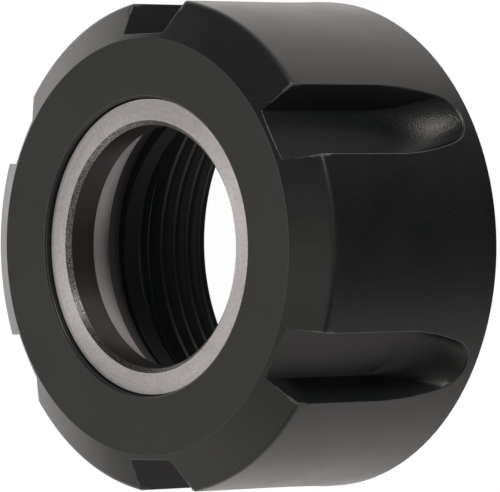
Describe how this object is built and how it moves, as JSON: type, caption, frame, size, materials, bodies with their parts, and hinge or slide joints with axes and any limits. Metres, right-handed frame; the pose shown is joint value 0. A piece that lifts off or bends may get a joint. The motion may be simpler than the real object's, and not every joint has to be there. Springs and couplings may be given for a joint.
{
  "type": "collet nut",
  "caption": "Round collet nut with grip flutes round its rim, a female back thread and a bright clamping ring that turns on balls in its front bore.",
  "frame": {"origin": "centre of the flat back face, on the nut's axis, where the nut stands", "axes": "+Z along the nut's axis towards the front face with the clamping ring; +X through the middle of a land between two flutes, away from the filling plug"},
  "size_m": [0.042, 0.042, 0.0215],
  "materials": {
    "blackened_steel": "satin black oxide",
    "ground_steel": "fine ground",
    "ball_steel": "polished"
  },
  "bodies": {
    "nut": {"nut_body": "blackened_steel", "ball_fill_plug": "blackened_steel"},
    "ring": {"clamping_ring": "ground_steel"},
    "ball_row": {"bearing_ball_01": "ball_steel", "bearing_ball_02": "ball_steel", "bearing_ball_03": "ball_steel", "bearing_ball_04": "ball_steel", "bearing_ball_05": "ball_steel", "bearing_ball_06": "ball_steel", "bearing_ball_07": "ball_steel", "bearing_ball_08": "ball_steel", "bearing_ball_09": "ball_steel", "bearing_ball_10": "ball_steel", "bearing_ball_11": "ball_steel", "bearing_ball_12": "ball_steel", "bearing_ball_13": "ball_steel", "bearing_ball_14": "ball_steel", "bearing_ball_15": "ball_steel", "bearing_ball_16": "ball_steel", "bearing_ball_17": "ball_steel", "bearing_ball_18": "ball_steel", "bearing_ball_19": "ball_steel", "bearing_ball_20": "ball_steel", "bearing_ball_21": "ball_steel", "bearing_ball_22": "ball_steel", "bearing_ball_23": "ball_steel", "bearing_ball_24": "ball_steel", "bearing_ball_25": "ball_steel", "bearing_ball_26": "ball_steel", "bearing_ball_27": "ball_steel", "bearing_ball_28": "ball_steel", "bearing_ball_29": "ball_steel"}
  },
  "joints": [
    {"name": "ring_spin", "type": "hinge", "parent": "nut", "child": "ring", "pos_m": [0, 0, 0.0163], "axis": [0, 0, 1], "continuous": true},
    {"name": "ball_orbit", "type": "hinge", "parent": "nut", "child": "ball_row", "pos_m": [0, 0, 0.0163], "axis": [0, 0, 1], "continuous": true}
  ],
  "couplings": [
    {"joint": "ball_orbit", "follows": "ring_spin", "ratio": 0.4479}
  ]
}
